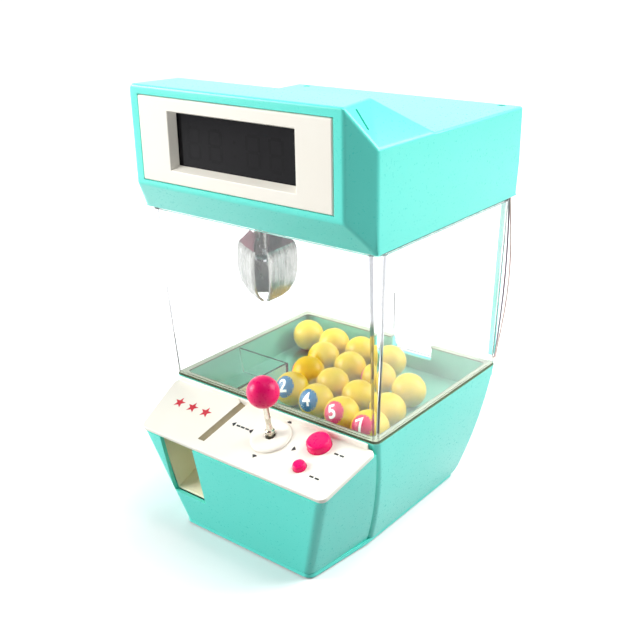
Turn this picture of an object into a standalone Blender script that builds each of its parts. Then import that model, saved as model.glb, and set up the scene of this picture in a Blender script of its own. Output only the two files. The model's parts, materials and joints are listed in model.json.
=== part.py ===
"""Desktop claw crane machine with a clock display in its head.

The frame: +X is to the right seen from the front, the front faces -Y, +Z is up, and the origin is
at the middle of the footprint on the table. Every size and place below is in millimetres, and MM
turns them into Blender's metres as each mesh is made.
"""

import math

import bmesh
import bpy
from mathutils import Matrix, Vector

MM = 0.001
GAP = 0.3  # clearance between pieces that meet

# Head: a box with a raised clock block on its front.
HEAD_HALF = 71.5
HEAD_FRONT = -49.2
HEAD_BACK = 75.0
HEAD_BOTTOM = 167.6
HEAD_CREASE = 185.0
ROOF = 212.6
BLOCK_HALF = 62.2
BLOCK_FRONT = -60.6
BLOCK_BOTTOM = 182.8
CREST = 229.9
CREST_BACK = -34.0
CREST_BACK_HALF = 57.0
SLOPE_END = -6.0
CREASE_INSET = 0.6
HEAD_WALL = 2.0

# Clock display in the block's front face.
BEZEL_HALF = 57.2
BEZEL_LOW, BEZEL_HIGH = 185.3, 225.6
WINDOW_HALF, WINDOW_LOW, WINDOW_HIGH = 38.2, 191.4, 219.8
GLASS_HALF, GLASS_LOW, GLASS_HIGH = 35.5, 194.3, 218.2

# Clear case between head and base.
CASE_TOP, CASE_BOTTOM = 167.3, 73.6
CASE_TOP_HALF, CASE_TOP_FRONT, CASE_TOP_BACK = 70.9, -47.4, 70.9
CASE_LOW_HALF, CASE_LOW_FRONT, CASE_LOW_BACK = 65.8, -41.6, 70.4
CASE_WALL = 1.6
CASE_CORNER = (2.4, 6.0)  # corner radius at the bottom and at the top
HATCH_LEFT, HATCH_RIGHT, HATCH_LOW, HATCH_HIGH = -2.0, 28.0, 65.6, 102.0
HATCH_PIN_Y, HATCH_PIN_Z = 72.5, 66.6
WIRE_HOLE_X, WIRE_Y = 62.2, 71.8
WIRE_BOW = 1.8  # how far the wires stand out to the right at mid height

# Base: a tapered rear body that holds the prizes, and a control housing in front of it.
BASE_TOP = 73.3
BASE_LOW = 3.3
REAR_TOP_HALF, REAR_TOP_FRONT, REAR_TOP_BACK = 66.6, -42.4, 71.5
REAR_LOW_HALF, REAR_LOW_FRONT, REAR_LOW_BACK = 48.9, -22.6, 66.0
REAR_BULGE = 2.2  # the side walls curve out by this much at half height
REAR_WALL = 2.2
BASE_CORNER = 3.6
TRAY_FLOOR = 58.0
TRAY_WALL = 1.5
FRONT_TOP_Y, FRONT_TOP_HALF = -75.0, 60.1
FRONT_LOW_Y, FRONT_LOW_HALF = -64.6, 43.2
EXIT_LEFT, EXIT_RIGHT, EXIT_LOW = -46.4, -23.2, 20.2

# Control panel, which slopes down to the front.
PANEL_FRONT_Y, PANEL_FRONT_Z = -75.0, 57.5
PANEL_BACK_Y, PANEL_BACK_Z = -42.2, 70.35
PANEL_THICK = 2.6
LIP_HALF = 62.0
JOYSTICK_X, JOYSTICK_S = 12.3, 21.9
LEVER_TILT = 9.5  # the lever leans this far to the front at rest, in degrees
KNOB_REACH, KNOB_RADIUS = 26.6, 8.0
DOWN_X, DOWN_S, DOWN_RADIUS = 38.6, 27.3, 6.0
MODE_X, MODE_S, MODE_RADIUS = 37.7, 12.2, 3.2

# Claw and the gantry that carries it.
CLAW_X, CLAW_Y = -24.0, -12.0
CLAW_TURN = 2.4  # direction of the first finger, in degrees from +X
FINGER_COUNT = 3
FINGER_PIVOT_R, FINGER_PIVOT_Z = 6.4, 148.6
FINGER_THICK, FINGER_RIB = 1.1, 0.3
HUB_TOP = 160.4
RAIL_X, RAIL_Z, RAIL_RADIUS = 61.0, 181.0, 2.0
BAR_OFFSET = 7.5
DRUM_RADIUS = 4.5
DRUM_Z = 195.0

# Prizes.
BALL_RADIUS = 9.2
BALL_ROWS = (  # the first ball's x and y, the step to the next one, and how many stand in the row
    (-11.0, -9.6, 19.5, -3.8, 4),
    (-16.7, 11.3, 20.1, -4.0, 4),
    (-22.4, 32.1, 20.6, -2.4, 4),
    (-50.0, 52.6, 20.2, -1.0, 4),
)


def clear_scene():
    for obj in list(bpy.data.objects):
        bpy.data.objects.remove(obj, do_unlink=True)


def make_material(name, colour, roughness, metallic=0.0, transmission=0.0):
    material = bpy.data.materials.new(name)
    material.use_nodes = True
    shader = material.node_tree.nodes["Principled BSDF"]
    shader.inputs["Base Color"].default_value = (*colour, 1.0)
    shader.inputs["Roughness"].default_value = roughness
    shader.inputs["Metallic"].default_value = metallic
    shader.inputs["Transmission Weight"].default_value = transmission
    material.diffuse_color = (*colour, 1.0)
    return material


clear_scene()
TURQUOISE = make_material("turquoise_plastic", (0.17, 0.80, 0.74), 0.35)
CREAM = make_material("cream_plastic", (0.93, 0.88, 0.76), 0.4)
PINK = make_material("pink_plastic", (0.90, 0.02, 0.20), 0.3)
CLEAR = make_material("clear_plastic", (0.95, 0.98, 0.98), 0.05, transmission=0.95)
YELLOW = make_material("yellow_plastic", (0.90, 0.65, 0.06), 0.4)
CHROME = make_material("chrome_plating", (0.80, 0.80, 0.82), 0.12, metallic=1.0)
STEEL = make_material("steel", (0.62, 0.62, 0.64), 0.3, metallic=1.0)
NYLON = make_material("white_nylon", (0.86, 0.86, 0.82), 0.5)
BLACK = make_material("black_plastic", (0.02, 0.02, 0.02), 0.4)
DISPLAY = make_material("display_glass", (0.015, 0.015, 0.017), 0.12)
BOARD = make_material("circuit_board", (0.03, 0.22, 0.10), 0.5)
CELL = make_material("battery_cell", (0.12, 0.12, 0.14), 0.35)
LOOM = make_material("wire_loom", (0.25, 0.04, 0.06), 0.5)
CORD = make_material("hoist_cord", (0.85, 0.84, 0.80), 0.8)


# ---------------------------------------------------------------- modelling tools


def lerp(a, b, t):
    return a + (b - a) * t


def add_mesh(name, points, faces, material, origin=(0.0, 0.0, 0.0)):
    """An object made of points in millimetres, with its own origin and with its faces turned outwards."""
    centre = Vector(origin)
    mesh = bpy.data.meshes.new(name)
    mesh.from_pydata([(Vector(point) - centre) * MM for point in points], [], faces)
    shape = bmesh.new()
    shape.from_mesh(mesh)
    bmesh.ops.recalc_face_normals(shape, faces=shape.faces)
    shape.to_mesh(mesh)
    shape.free()
    if material:
        mesh.materials.append(material)
    obj = bpy.data.objects.new(name, mesh)
    obj.location = centre * MM
    bpy.context.scene.collection.objects.link(obj)
    return obj


def smooth(obj, angle=35.0):
    obj.data.shade_smooth()
    obj.data.set_sharp_from_angle(angle=math.radians(angle))
    return obj


def bevel(obj, width, segments=2, angle=30.0):
    modifier = obj.modifiers.new("Bevel", "BEVEL")
    modifier.width = width * MM
    modifier.segments = segments
    modifier.limit_method = "ANGLE"
    modifier.angle_limit = math.radians(angle)
    return obj


def boolean(target, tool, operation):
    """Cuts the tool from the target, or joins it on, and turns the tool into a hidden helper."""
    modifier = target.modifiers.new(operation.title(), "BOOLEAN")
    modifier.operation = operation
    modifier.solver = "EXACT"
    modifier.object = tool
    tool.hide_render = True
    tool.display_type = "WIRE"
    return target


def cut(target, *tools):
    for tool in tools:
        boolean(target, tool, "DIFFERENCE")
    return target


def join(target, *tools):
    for tool in tools:
        boolean(target, tool, "UNION")
    return target


def fillet(corners, radius, steps=3):
    """A polygon in the plane with each corner rounded; radius is one value, or one for each corner."""
    radii = radius if isinstance(radius, (list, tuple)) else [radius] * len(corners)
    outline = []
    for index, corner in enumerate(corners):
        here = Vector(corner)
        before = (Vector(corners[index - 1]) - here).normalized()
        after = (Vector(corners[(index + 1) % len(corners)]) - here).normalized()
        if radii[index] <= 0:
            outline.append(tuple(here))
            continue
        half = before.angle(after) / 2
        middle = here + (before + after).normalized() * (radii[index] / math.sin(half))
        start = here + before * (radii[index] / math.tan(half)) - middle
        end = here + after * (radii[index] / math.tan(half)) - middle
        turn = start.angle_signed(end)
        for step in range(steps + 1):
            arm = start.copy()
            arm.rotate(Matrix.Rotation(-turn * step / steps, 2))
            outline.append(tuple(middle + arm))
    return outline


def rectangle(x0, x1, y0, y1):
    return [(x0, y0), (x1, y0), (x1, y1), (x0, y1)]


def loft(name, rings, material, origin=(0.0, 0.0, 0.0)):
    """A closed solid through rings of points, all with the same count, with a flat cap on each end."""
    count = len(rings[0])
    points = [point for ring in rings for point in ring]
    faces = [tuple(range(count)), tuple(range(len(points) - count, len(points)))]
    for level in range(len(rings) - 1):
        low, high = level * count, (level + 1) * count
        for i in range(count):
            j = (i + 1) % count
            faces.append((low + i, low + j, high + j, high + i))
    return add_mesh(name, points, faces, material, origin)


def tapered(name, levels, radius, material, steps=3, origin=(0.0, 0.0, 0.0)):
    """A solid that is a rounded rectangle at each level, given as (z, x0, x1, y0, y1). Each may have its radius."""
    radii = radius if isinstance(radius, tuple) else (radius,) * len(levels)
    rings = []
    for (z, x0, x1, y0, y1), corner in zip(levels, radii):
        rings.append([(x, y, z) for x, y in fillet(rectangle(x0, x1, y0, y1), corner, steps)])
    return loft(name, rings, material, origin)


def block(name, low, high, material=None, origin=(0.0, 0.0, 0.0)):
    ring = rectangle(low[0], high[0], low[1], high[1])
    return loft(name, [[(x, y, z) for x, y in ring] for z in (low[2], high[2])], material, origin)


def extruded_x(name, outline, x0, x1, material=None, origin=(0.0, 0.0, 0.0)):
    """An outline in Y and Z, run from x0 to x1."""
    return loft(name, [[(x, y, z) for y, z in outline] for x in (x0, x1)], material, origin)


def turned(name, profile, base, axis, material=None, sides=16, origin=None, closed=False):
    """A profile of (radius, height) turned about an axis through base. A closed profile makes a ring."""
    centre = Vector(base)
    spin = Vector((0, 0, 1)).rotation_difference(Vector(axis)).to_matrix()
    points, rings, faces = [], [], []
    for radius, height in profile:
        if radius == 0:
            rings.append([len(points)] * sides)
            points.append(centre + spin @ Vector((0, 0, height)))
            continue
        rings.append(list(range(len(points), len(points) + sides)))
        for i in range(sides):
            angle = 2 * math.pi * i / sides
            arm = Vector((radius * math.cos(angle), radius * math.sin(angle), height))
            points.append(centre + spin @ arm)
    loops = rings + rings[:1] if closed else rings
    for low, high in zip(loops, loops[1:]):
        for i in range(sides):
            j = (i + 1) % sides
            corners = dict.fromkeys((low[i], low[j], high[j], high[i]))
            faces.append(tuple(corners))
    if not closed:
        faces += [tuple(ring) for ring in (rings[0], rings[-1]) if len(set(ring)) > 1]
    return smooth(add_mesh(name, points, faces, material, base if origin is None else origin))


def rod(name, base, axis, radius, length, material=None, sides=12, origin=None):
    return turned(name, [(radius, 0), (radius, length)], base, axis, material, sides, origin)


def washer(name, base, axis, inner, outer, length, material=None, sides=20):
    profile = [(outer, 0), (outer, length), (inner, length), (inner, 0)]
    return turned(name, profile, base, axis, material, sides, closed=True)


# ---------------------------------------------------------------- head


def head_solid(name, inset, foot, material=None):
    """The head's outer shape, drawn in by inset on every side but the bottom, which runs foot lower."""
    half, low_half = HEAD_HALF - inset, HEAD_HALF - CREASE_INSET - inset
    front, back = HEAD_FRONT + inset, HEAD_BACK - inset
    low_front, low_back = front + CREASE_INSET, back - CREASE_INSET
    roof, crest = ROOF - inset, CREST - inset
    face, face_half = BLOCK_FRONT + inset, BLOCK_HALF - inset
    crest_back, crest_half = CREST_BACK - inset / 2, CREST_BACK_HALF - inset
    right = [
        (low_half, low_front, HEAD_BOTTOM - foot),
        (low_half, low_back, HEAD_BOTTOM - foot),
        (low_half, low_front, HEAD_BOTTOM + inset / 2),
        (low_half, low_back, HEAD_BOTTOM + inset / 2),
        (half, front, HEAD_CREASE),
        (half, back, HEAD_CREASE),
        (half, front, roof),
        (half, SLOPE_END, roof),
        (half, back, roof),
        (face_half, face, BLOCK_BOTTOM + inset / 2),
        (face_half, face, crest),
        (crest_half, crest_back, crest),
    ]
    points = right + [(-x, y, z) for x, y, z in right]
    (foot_f, foot_b, low_f, low_b, mid_f, mid_b, top_f, top_s, top_b, face_l, face_h, crest_b) = range(12)
    side = [
        (foot_f, foot_b, low_b, low_f),
        (low_f, low_b, mid_b, mid_f),
        (mid_f, mid_b, top_b, top_s, top_f),
        (low_f, mid_f, face_l),
        (face_l, mid_f, top_f, face_h),
        (face_h, top_f, crest_b),
        (top_f, top_s, crest_b),
    ]
    faces = side + [tuple(i + 12 for i in face_) for face_ in side]
    across = [
        (foot_f, low_f),
        (low_f, face_l),
        (face_l, face_h),
        (face_h, crest_b),
        (crest_b, top_s),
        (top_s, top_b),
        (top_b, mid_b),
        (mid_b, low_b),
        (low_b, foot_b),
        (foot_b, foot_f),
    ]
    faces += [(a, b, b + 12, a + 12) for a, b in across]
    return add_mesh(name, points, faces, material)


def make_head_shell():
    shell = bevel(head_solid("head_shell", 0.0, 0.0, TURQUOISE), 1.3, 2, 18.0)
    cavity = head_solid("cut_head_cavity", HEAD_WALL, 4.0)
    window = block(
        "cut_bezel_opening",
        (-BEZEL_HALF, BLOCK_FRONT - 2, BEZEL_LOW),
        (BEZEL_HALF, BLOCK_FRONT + 8, BEZEL_HIGH),
    )
    cut(shell, cavity, window)
    # A narrow slot runs along the right shoulder, just behind the block's chamfer.
    slot_start, slot_end = Vector((62.8, -51.2, 229.0)), Vector((67.1, -49.6, 220.4))
    along = (slot_end - slot_start).normalized()
    inward = Vector((-0.8, 0.0, -0.6))
    width = along.cross(inward).normalized() * 0.6
    corners = []
    for point in (slot_start, slot_end):
        for reach in (-3.0, 5.0):
            for sign in (-1, 1):
                corners.append(tuple(point + inward * reach + width * sign))
    order = [(0, 1, 3, 2), (4, 6, 7, 5), (0, 4, 5, 1), (2, 3, 7, 6), (0, 2, 6, 4), (1, 5, 7, 3)]
    cut(shell, add_mesh("cut_shoulder_slot", corners, order, None))
    cut(shell, block("cut_wire_notch", (66.9, 68.0, 166.0), (70.2, 73.4, 173.0)))
    for side in (-1, 1):
        pocket = rod(f"cut_roof_screw_{side}", (side * 62.0, 70.0, ROOF - 1.2), (0, 0, 1), 2.2, 4.0)
        cut(shell, pocket)
    smooth(shell)


def make_display():
    bezel = block(
        "lcd_bezel",
        (-BEZEL_HALF + GAP, BLOCK_FRONT - 0.4, BEZEL_LOW + GAP),
        (BEZEL_HALF - GAP, BLOCK_FRONT + 3.6, BEZEL_HIGH - GAP),
        CREAM,
    )
    bevel(bezel, 0.8)
    depths = (BLOCK_FRONT - 1.4, BLOCK_FRONT + 4.6)
    rings = []
    for depth, grow in zip(depths, (1.0, -0.2)):
        half = lerp(GLASS_HALF, WINDOW_HALF, grow)
        low, high = lerp(GLASS_LOW, WINDOW_LOW, grow), lerp(GLASS_HIGH, WINDOW_HIGH, grow)
        rings.append([(x, depth, z) for x, z in rectangle(-half, half, low, high)])
    cut(bezel, loft("cut_display_window", rings, None))
    low, high = (-44.0, BLOCK_FRONT + 3.9, 188.0), (44.0, BLOCK_FRONT + 7.0, 223.0)
    block("lcd_panel", low, high, DISPLAY)
    main = block("main_board", (-52.0, -51.0, 186.0), (52.0, -49.4, 224.0), BOARD)
    join(main, block("part_main_chip", (-14.0, -49.8, 198.0), (10.0, -47.2, 214.0)))
    join(main, block("part_main_socket", (26.0, -49.8, 190.0), (44.0, -45.6, 197.0)))


def make_head_deck():
    """The plate that closes the head from below, with the opening the claw hangs through."""
    levels = [(z, -68.2, 68.2, -46.0, 70.4) for z in (168.4, 170.4)]
    deck = tapered("head_deck", levels, 2.0, TURQUOISE)
    cut(deck, block("cut_claw_opening", (-45.0, -19.0, 166.0), (41.0, 39.0, 173.0)))
    for side in (-1, 1):
        for y0, y1 in ((-45.5, -41.0), (65.5, 70.0)):
            low = (side * RAIL_X - 4.0, y0, 169.4)
            high = (side * RAIL_X + 4.0, y1, RAIL_Z + 4.2)
            join(deck, block(f"part_rail_post_{side}_{y0}", low, high))
    for name, side in (("left", -1), ("right", 1)):
        socket = rod(f"cut_rail_{name}", (side * RAIL_X, -43.5, RAIL_Z), (0, 1, 0), RAIL_RADIUS + GAP, 111.5)
        cut(deck, socket)
        rod(f"depth_rail_{name}", (side * RAIL_X, -43.2, RAIL_Z), (0, 1, 0), RAIL_RADIUS, 110.9, STEEL)


# ---------------------------------------------------------------- gantry and claw


def make_bridge():
    """A frame that slides front to back on the two rails, with two cross bars for the trolley."""
    parts = []
    for side in (-1, 1):
        low = (side * RAIL_X - 4.5, CLAW_Y - 10.0, RAIL_Z - 4.5)
        high = (side * RAIL_X + 4.5, CLAW_Y + 10.0, RAIL_Z + 4.5)
        parts.append(block(f"part_bridge_end_{side}", low, high))
    for side in (-1, 1):
        y = CLAW_Y + side * BAR_OFFSET
        parts.append(block(f"part_bridge_bar_{side}", (-58.0, y - 1.5, 178.0), (58.0, y + 1.5, 182.0)))
    parts.append(block("part_motor_seat", (50.5, CLAW_Y - 9.0, 182.5), (60.0, CLAW_Y + 9.0, 185.5)))
    bridge = block(
        "bridge",
        (-59.0, CLAW_Y - 9.5, RAIL_Z - 3.0),
        (-56.4, CLAW_Y + 9.5, RAIL_Z + 3.0),
        NYLON,
        origin=(0.0, CLAW_Y, RAIL_Z),
    )
    join(bridge, *parts)
    for side in (-1, 1):
        bore = rod(f"cut_bridge_bore_{side}", (side * RAIL_X, CLAW_Y - 20, RAIL_Z), (0, 1, 0), RAIL_RADIUS + GAP, 40)
        cut(bridge, bore)
    motor = rod("bridge_motor", (56.6, CLAW_Y - 8.5, 191.5), (0, 1, 0), 5.5, 17.0, STEEL, 16)
    join(motor, rod("part_bridge_pinion", (56.6, CLAW_Y + 8.0, 191.5), (0, 1, 0), 1.6, 4.0))


def make_trolley():
    """The carriage that runs along the bridge, with the hoist's guide tube, winch and motors."""
    low, high = (CLAW_X - 11.0, CLAW_Y - 11.0, 182.4), (CLAW_X + 14.0, CLAW_Y + 16.0, 185.0)
    trolley = block("trolley", low, high, PINK, origin=(CLAW_X, CLAW_Y, 182.4))
    join(trolley, rod("part_guide_tube", (CLAW_X, CLAW_Y, 163.6), (0, 0, 1), 4.0, 20.0, sides=16))
    for index, y in enumerate((CLAW_Y - 6.6, CLAW_Y + 3.6)):
        low, high = (CLAW_X - 0.5, y, 184.0), (CLAW_X + 9.5, y + 1.6, DRUM_Z + 2.5)
        join(trolley, block(f"part_drum_cheek_{index}", low, high))
    cut(trolley, rod("cut_cord_bore", (CLAW_X, CLAW_Y, 160.0), (0, 0, 1), 1.3, 30.0))
    axle = (CLAW_X + DRUM_RADIUS + 0.9, CLAW_Y - 12.0, DRUM_Z)
    cut(trolley, rod("cut_drum_axle", axle, (0, 1, 0), 1.3, 20.0))
    profile = [(1.0, -2.6), (1.0, 0.0), (6.0, 0.0), (6.0, 1.0), (DRUM_RADIUS, 1.4), (DRUM_RADIUS, 6.2)]
    profile += [(6.0, 6.6), (6.0, 7.6), (1.0, 7.6), (1.0, 10.2)]
    drum_base = (axle[0], CLAW_Y - 4.4, DRUM_Z)
    turned("winch_drum", profile, drum_base, (0, 1, 0), NYLON, 20)
    winch = rod("winch_motor", (axle[0], CLAW_Y + 6.2, DRUM_Z), (0, 1, 0), 5.0, 9.5, STEEL, 16)
    join(winch, block("part_winch_foot", (axle[0] - 4, CLAW_Y + 6.4, 185.3), (axle[0] + 4, CLAW_Y + 15.5, 192)))
    low, high = (CLAW_X - 10.6, CLAW_Y - 10.0, 185.3), (CLAW_X - 3.0, CLAW_Y + 14.0, 195.0)
    bevel(block("trolley_motor", low, high, STEEL), 1.0)
    rod("hoist_cord", (CLAW_X, CLAW_Y, HUB_TOP + GAP), (0, 0, 1), 0.5, DRUM_Z - HUB_TOP - GAP, CORD, 8)


def finger_frame(index):
    """The outward and sideways directions of one finger, in plan."""
    angle = math.radians(CLAW_TURN + 360.0 * index / FINGER_COUNT)
    outward = Vector((math.cos(angle), math.sin(angle), 0.0))
    return outward, Vector((-outward.y, outward.x, 0.0))


def finger_block(name, index, reach, side, height):
    """A small block in one finger's own directions: ranges outward, sideways and up."""
    outward, sideways = finger_frame(index)
    centre = Vector((CLAW_X, CLAW_Y, 0.0))
    rings = []
    for z in height:
        ring = []
        for r, s in rectangle(reach[0], reach[1], side[0], side[1]):
            ring.append(tuple(centre + outward * r + sideways * s + Vector((0, 0, z))))
        rings.append(ring)
    return loft(name, rings, None)


def make_claw_hub():
    profile = [(2.6, 144.6), (3.2, 145.2), (3.2, 156.4), (6.6, 157.2), (6.6, 158.6), (3.0, 159.4), (2.4, HUB_TOP)]
    hub = turned("claw_hub", profile, (CLAW_X, CLAW_Y, 0), (0, 0, 1), CHROME, 20, origin=(CLAW_X, CLAW_Y, HUB_TOP))
    for index in range(FINGER_COUNT):
        join(hub, finger_block(f"part_clevis_{index}", index, (1.0, 7.4), (-2.0, 2.0), (147.3, 149.9)))
    cut(hub, rod("cut_plunger_bore", (CLAW_X, CLAW_Y, 140.0), (0, 0, 1), 1.9, 15.5))
    profile = [(5.5, 138.6), (5.5, 140.2), (1.6, 141.0), (1.6, 151.0)]
    turned("claw_plunger", profile, (CLAW_X, CLAW_Y, 0), (0, 0, 1), STEEL, 16, origin=(CLAW_X, CLAW_Y, 138.6))


def make_finger(index):
    """A broad folded shell: a steep roof plate, a tall ribbed side plate and a foot that turns in below."""
    # distance from the claw's axis, height and half width of the shell's inner face, from the hub to the tip
    section = (
        (6.0, 153.4, 4.6),
        (8.2, 149.6, 7.6),
        (9.9, 146.6, 10.9),
        (10.8, 143.4, 11.3),
        (11.1, 138.0, 11.4),
        (10.9, 132.0, 11.2),
        (10.0, 126.5, 10.4),
        (7.6, 121.8, 8.8),
        (4.6, 119.0, 6.4),
    )
    columns = 10
    outward, sideways = finger_frame(index)
    centre = Vector((CLAW_X, CLAW_Y, 0.0))
    points = []
    for layer in (0, 1):
        for row, (reach, height, half) in enumerate(section):
            last = section[max(row - 1, 0)]
            after = section[min(row + 1, len(section) - 1)]
            run, rise = after[0] - last[0], after[1] - last[1]
            length = math.hypot(run, rise)
            for column in range(columns + 1):
                across = 2.0 * column / columns - 1.0
                depth = layer * (FINGER_THICK + (FINGER_RIB if row > 2 and column % 2 else 0.0))
                r = reach - depth * rise / length - 0.4 * across * across
                z = height + depth * run / length
                points.append(tuple(centre + outward * r + sideways * (half * across) + Vector((0, 0, z))))
    wide, rows = columns + 1, len(section)
    inner = wide * rows
    faces = []
    for row in range(rows - 1):
        for column in range(columns):
            a = row * wide + column
            faces.append((a, a + 1, a + wide + 1, a + wide))
            faces.append((inner + a, inner + a + wide, inner + a + wide + 1, inner + a + 1))
        for edge in (row * wide, row * wide + columns):
            faces.append((edge, edge + wide, inner + edge + wide, inner + edge))
    for edge in (0, (rows - 1) * wide):
        for column in range(columns):
            a = edge + column
            faces.append((a, a + 1, inner + a + 1, inner + a))
    pivot = centre + outward * FINGER_PIVOT_R + Vector((0, 0, FINGER_PIVOT_Z))
    finger = add_mesh(f"claw_finger_{index + 1}", points, faces, CHROME, tuple(pivot))
    for side in (-1, 1):
        span = sorted((side * 2.4, side * 4.0))
        join(finger, finger_block(f"part_ear_{index}_{side}", index, (5.2, 8.8), span, (147.2, 150.0)))
    smooth(finger)


# ---------------------------------------------------------------- clear case


def case_levels(inset, z_values):
    levels = []
    for z in z_values:
        t = (z - CASE_BOTTOM) / (CASE_TOP - CASE_BOTTOM)
        half = lerp(CASE_LOW_HALF, CASE_TOP_HALF, t) - inset
        front = lerp(CASE_LOW_FRONT, CASE_TOP_FRONT, t) + inset
        back = lerp(CASE_LOW_BACK, CASE_TOP_BACK, t) - inset
        levels.append((z, -half, half, front, back))
    return levels


def make_case():
    case = tapered("clear_case", case_levels(0.0, (CASE_BOTTOM, CASE_TOP)), CASE_CORNER, CLEAR, 4)
    inner = tapered(
        "cut_case_inside",
        case_levels(CASE_WALL, (CASE_BOTTOM + 1.2, CASE_TOP - 1.2)),
        tuple(radius - CASE_WALL for radius in CASE_CORNER),
        None,
        4,
    )
    mouth = tapered("cut_case_mouth", case_levels(4.0, (CASE_BOTTOM - 2, CASE_TOP + 2)), 3.0, None)
    door = block("cut_hatch_opening", (HATCH_LEFT + 1.5, 60.0, 72.0), (HATCH_RIGHT - 1.5, 80.0, HATCH_HIGH - 1.5))
    cut(case, inner, mouth, door)
    smooth(case)
    # The hatch turns on two pins at its lower edge, and covers the opening from outside.
    front, back = HATCH_PIN_Y - 0.7, HATCH_PIN_Y + 0.7
    pin = (0.0, HATCH_PIN_Y, HATCH_PIN_Z)
    hatch = block("rear_hatch", (HATCH_LEFT, front, 70.6), (HATCH_RIGHT, back, HATCH_HIGH), CLEAR, pin)
    foot = block("part_hatch_foot", (HATCH_LEFT + 2.0, front, HATCH_LOW), (HATCH_RIGHT - 2.0, back, 72.0))
    pins = rod("part_hatch_pins", (HATCH_LEFT, HATCH_PIN_Y, HATCH_PIN_Z), (1, 0, 0), 0.85, HATCH_RIGHT - HATCH_LEFT)
    join(hatch, foot, pins, block("part_hatch_pull", (18.0, 73.0, 95.0), (25.0, 74.6, 97.0)))


def make_wire_channel():
    """A strip behind the case's back right corner, with the wires from the base to the head beside it."""
    rings = []
    for z, x in ((77.5, 60.4), (CASE_TOP - 0.1, 63.4)):
        rings.append([(px, py, z) for px, py in rectangle(x, x + 3.8, 71.4, 73.8)])
    loft("wire_channel", rings, TURQUOISE)
    curve = bpy.data.curves.new("wire_loom", "CURVE")
    curve.dimensions = "3D"
    curve.bevel_depth = 0.85 * MM
    curve.bevel_resolution = 2
    curve.use_fill_caps = True
    spline = curve.splines.new("POLY")
    path = [(WIRE_HOLE_X, 66.5), (WIRE_HOLE_X, 73.4), (65.5, 77.0), (65.6, 79.0)]
    path += [(lerp(65.6, 68.45, t / 8) + WIRE_BOW * math.sin(math.pi * t / 8), lerp(79.0, 171.5, t / 8)) for t in range(1, 9)]
    spline.points.add(len(path) - 1)
    for point, (x, z) in zip(spline.points, path):
        point.co = (x * MM, WIRE_Y * MM, z * MM, 1.0)
    curve.materials.append(LOOM)
    bpy.context.scene.collection.objects.link(bpy.data.objects.new("wire_loom", curve))


# ---------------------------------------------------------------- base


def rear_levels(inset, z_values):
    levels = []
    for z in z_values:
        t = (z - BASE_LOW) / (BASE_TOP - BASE_LOW)
        half = lerp(REAR_LOW_HALF, REAR_TOP_HALF, t) + REAR_BULGE * 4.0 * t * (1.0 - t) - inset
        front = lerp(REAR_LOW_FRONT, REAR_TOP_FRONT, t) + inset
        back = lerp(REAR_LOW_BACK, REAR_TOP_BACK, t) - inset
        levels.append((z, -half, half, front, back))
    return levels


def rear_back(z):
    """How far back the rear body's outside lies at this height."""
    return rear_levels(0.0, (z,))[0][4]


BAY_HALF, BAY_LOW, BAY_HIGH, BAY_DEPTH = 28.0, 6.5, 53.5, 17.5


def back_slab(name, half, low, high, outer, inner, material=None, origin=(0.0, 0.0, 0.0)):
    """A slab that leans with the rear wall, from `outer` to `inner` millimetres behind its surface."""
    outline = [(rear_back(z) - depth, z) for z, depth in ((low, outer), (high, outer), (high, inner), (low, inner))]
    return extruded_x(name, outline, -half, half, material, origin)


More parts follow.
